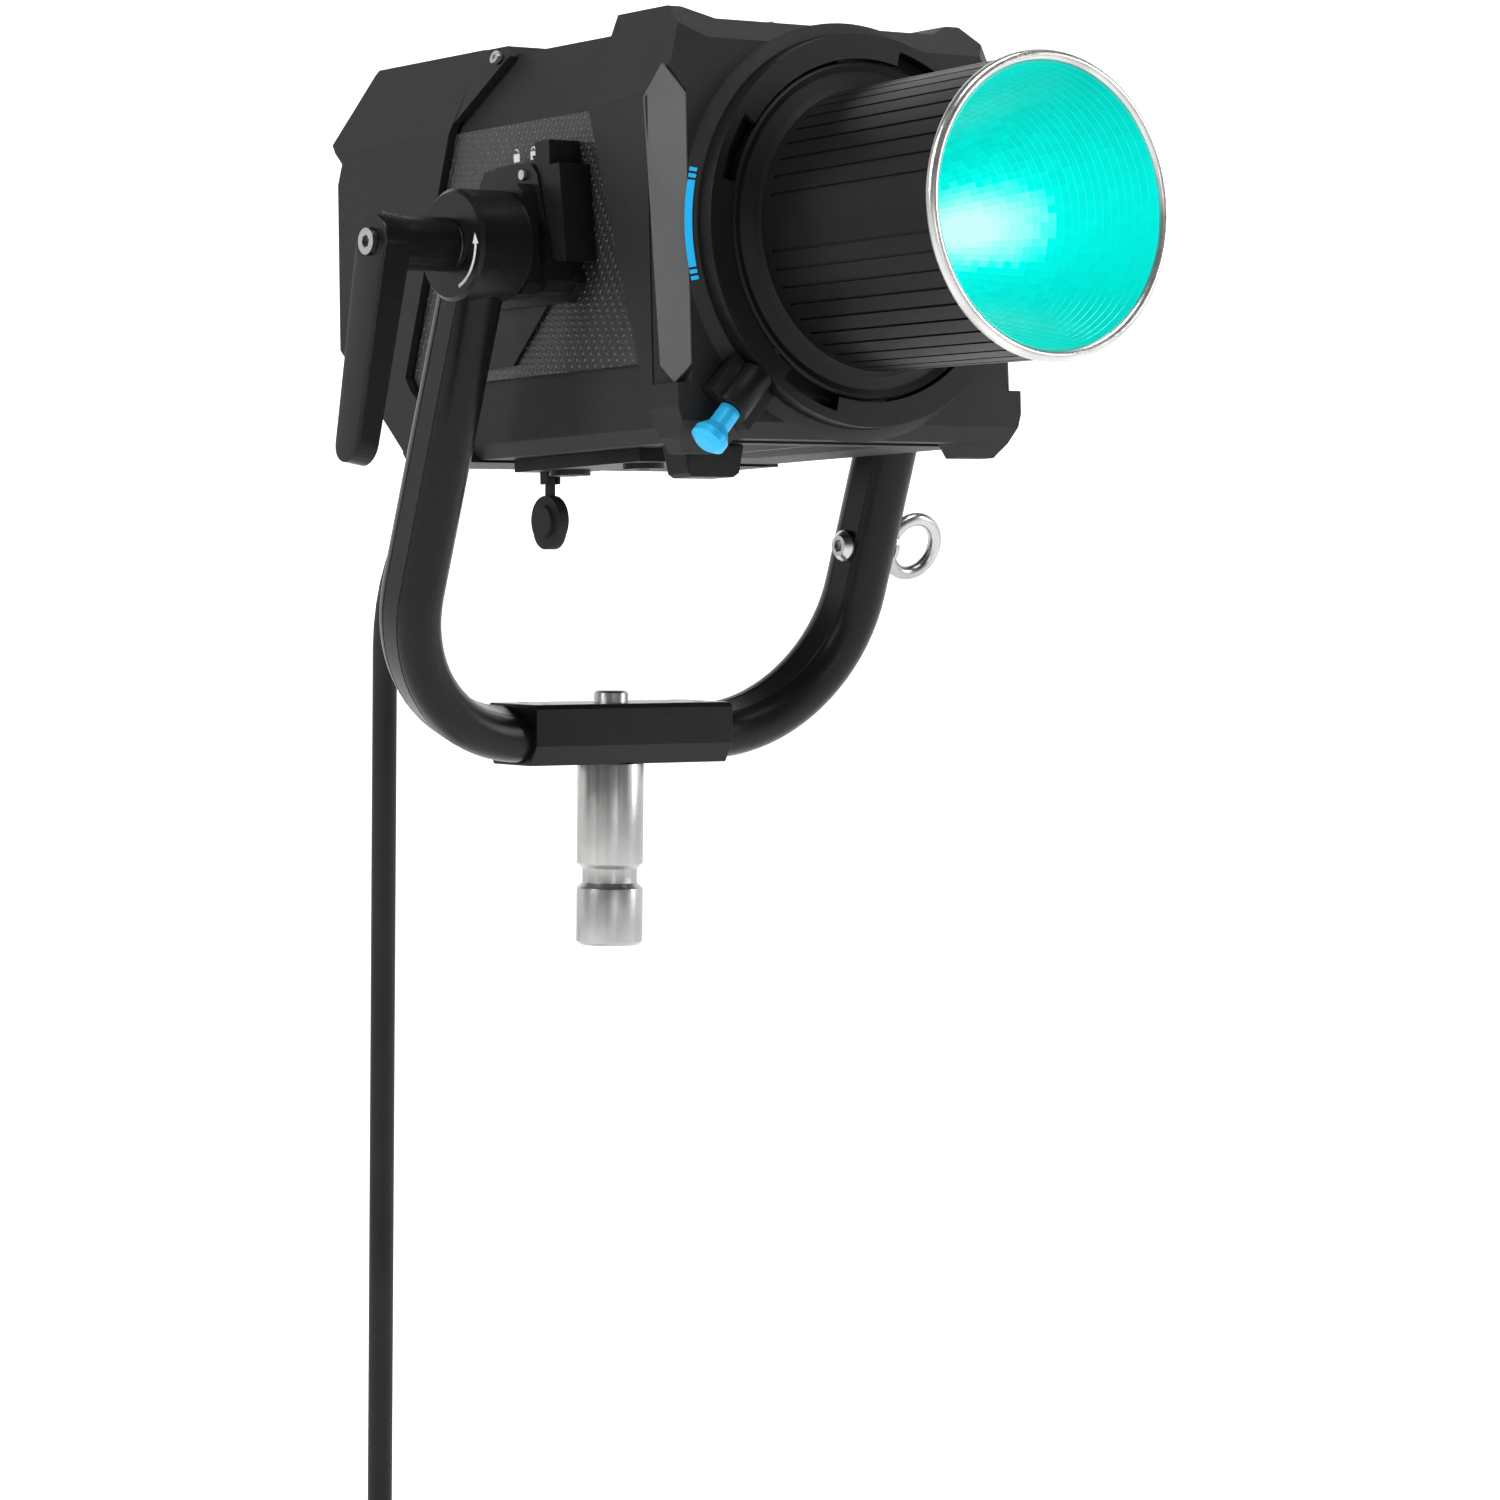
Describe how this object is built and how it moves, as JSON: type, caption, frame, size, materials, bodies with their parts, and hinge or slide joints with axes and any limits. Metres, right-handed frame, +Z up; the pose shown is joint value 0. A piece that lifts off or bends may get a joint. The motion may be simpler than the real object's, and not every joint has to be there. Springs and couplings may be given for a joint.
{
  "type": "studio spotlight head",
  "caption": "Studio spotlight head with a bayonet reflector on a tilting yoke, with a spigot, safety eye, clamp lever and mains lead.",
  "frame": {"origin": "centre of the spigot's shoulder, under the yoke's sleeve block", "axes": "+Z up along the spigot, the light shines towards -Y, the tilt axis lies along X with the clamp lever at -X"},
  "size_m": [0.3385, 0.5283, 0.8974],
  "materials": {
    "powder_black": "fine-grain matt powder coat",
    "casing_black": "cast, fine-grain matt powder coat",
    "accent_grey": "satin grey paint",
    "carbon_weave": "woven fibre pattern under satin resin",
    "bright_steel": "polished",
    "spigot_steel": "turned",
    "black_steel": "black oxide",
    "zinc_steel": "zinc plated",
    "spring_steel": "drawn wire",
    "bronze": "sintered",
    "black_plastic": "moulded, fine texture",
    "fan_plastic": "moulded",
    "knob_plastic": "moulded, ribbed",
    "blue_anodised": "blue anodised",
    "red_plastic": "moulded",
    "anodised_black": "black anodised",
    "raw_aluminium": "extruded, raw",
    "reflector_silver": "vacuum metallised facets",
    "rim_silver": "satin machined",
    "clear_glass": "clear",
    "display_glass": "dark glass over a lit screen",
    "board_green": "solder mask",
    "led_phosphor": "phosphor over copper",
    "rubber_black": "moulded rubber"
  },
  "bodies": {
    "yoke": {"yoke_tube": "powder_black", "yoke_hub_left": "powder_black", "yoke_hub_right": "powder_black", "sleeve_block": "powder_black", "sleeve_screws": "black_steel", "spigot": "spigot_steel", "eye_bolt": "bright_steel", "eye_bolt_screw": "bright_steel", "friction_discs": "black_steel", "tilt_bushes": "bronze", "lead": "rubber_black", "lead_coil": "rubber_black", "mains_plug": "rubber_black"},
    "clamp": {"clamp_insert": "zinc_steel", "lever_screw": "bright_steel", "lever_spring": "spring_steel"},
    "lever": {"lever_handle": "black_plastic"},
    "head": {"middle_casing": "casing_black", "front_bezel": "casing_black", "bezel_accents": "accent_grey", "rear_cover": "casing_black", "cover_screws": "zinc_steel", "side_panel_left": "carbon_weave", "side_panel_right": "carbon_weave", "tilt_bracket_left": "powder_black", "tilt_bracket_right": "powder_black", "bracket_rails": "anodised_black", "tilt_studs": "zinc_steel", "pivot_cap_right": "black_steel", "mount_ring": "anodised_black", "front_glass": "clear_glass", "led_board": "led_phosphor", "led_clamp": "raw_aluminium", "heat_sink": "raw_aluminium", "fan_frame": "fan_plastic", "driver_board": "board_green", "power_supply": "raw_aluminium", "control_panel": "black_plastic", "display": "display_glass", "underside_grille": "casing_black", "accessory_plate": "anodised_black", "foot_block": "anodised_black", "power_inlet": "black_plastic", "release_boss": "anodised_black", "release_spring": "spring_steel", "cable_connector": "black_plastic"},
    "reflector": {"reflector_barrel": "anodised_black", "reflector_bowl": "reflector_silver", "reflector_rim": "rim_silver"},
    "release_pin": {"release_pin": "blue_anodised"},
    "lock_left": {"lock_button_left": "zinc_steel"},
    "lock_right": {"lock_button_right": "zinc_steel"},
    "fan_left": {"fan_rotor_left": "fan_plastic"},
    "fan_right": {"fan_rotor_right": "fan_plastic"},
    "dimmer": {"dimmer_knob": "knob_plastic"},
    "menu_dial": {"menu_knob": "knob_plastic"},
    "menu_key": {"key_menu": "knob_plastic"},
    "back_key": {"key_back": "knob_plastic"},
    "rocker": {"power_rocker": "red_plastic"},
    "cap": {"port_cap": "rubber_black"}
  },
  "joints": [
    {"name": "head_tilt", "type": "hinge", "parent": "yoke", "child": "head", "pos_m": [0, -0.068, 0.2146], "axis": [1, 0, 0], "range_deg": [-90, 75], "deforming": ["lead"]},
    {"name": "lever_turn", "type": "hinge", "parent": "yoke", "child": "clamp", "pos_m": [0, -0.068, 0.2146], "axis": [1, 0, 0], "range_deg": [0, 90]},
    {"name": "lever_pull", "type": "slide", "parent": "clamp", "child": "lever", "axis": [-1, 0, 0], "range_m": [0, 0.005], "stiffness_N_per_m": 900, "springref_m": -0.002, "deforming": ["lever_spring"]},
    {"name": "reflector_twist", "type": "hinge", "parent": "head", "child": "reflector", "pos_m": [0, -0.17479, 0.22151], "axis": [0, 0.9987, -0.0506], "range_deg": [0, 25]},
    {"name": "pin_pull", "type": "slide", "parent": "head", "child": "release_pin", "axis": [-0.682, -0.037, -0.7304], "range_m": [0, 0.008], "stiffness_N_per_m": 500, "springref_m": -0.002, "deforming": ["release_spring"]},
    {"name": "lock_push_left", "type": "slide", "parent": "head", "child": "lock_left", "axis": [1, 0, 0], "range_m": [0, 0.0012], "stiffness_N_per_m": 800},
    {"name": "lock_push_right", "type": "slide", "parent": "head", "child": "lock_right", "axis": [-1, 0, 0], "range_m": [0, 0.0012], "stiffness_N_per_m": 800},
    {"name": "fan_spin_left", "type": "hinge", "parent": "head", "child": "fan_left", "pos_m": [-0.036, 0.00798, 0.21225], "axis": [0, 0.9987, -0.0506], "continuous": true},
    {"name": "fan_spin_right", "type": "hinge", "parent": "head", "child": "fan_right", "pos_m": [0.036, 0.00798, 0.21225], "axis": [0, 0.9987, -0.0506], "continuous": true},
    {"name": "dimmer_turn", "type": "hinge", "parent": "head", "child": "dimmer", "pos_m": [0.022, 0.08142, 0.22906], "axis": [0, 0.9987, -0.0506], "continuous": true},
    {"name": "menu_turn", "type": "hinge", "parent": "head", "child": "menu_dial", "pos_m": [0.042, 0.08142, 0.22906], "axis": [0, 0.9987, -0.0506], "continuous": true},
    {"name": "menu_push", "type": "slide", "parent": "head", "child": "menu_key", "axis": [0, -0.9987, 0.0506], "range_m": [0, 0.001], "stiffness_N_per_m": 800},
    {"name": "back_push", "type": "slide", "parent": "head", "child": "back_key", "axis": [0, -0.9987, 0.0506], "range_m": [0, 0.001], "stiffness_N_per_m": 800},
    {"name": "rocker_turn", "type": "hinge", "parent": "head", "child": "rocker", "pos_m": [0.033, 0.08128, 0.19653], "axis": [1, 0, 0], "range_deg": [-8, 8]},
    {"name": "cap_swing", "type": "hinge", "parent": "head", "child": "cap", "pos_m": [-0.05, -0.02469, 0.12074], "axis": [1, 0, 0], "range_deg": [-40, 40]}
  ]
}
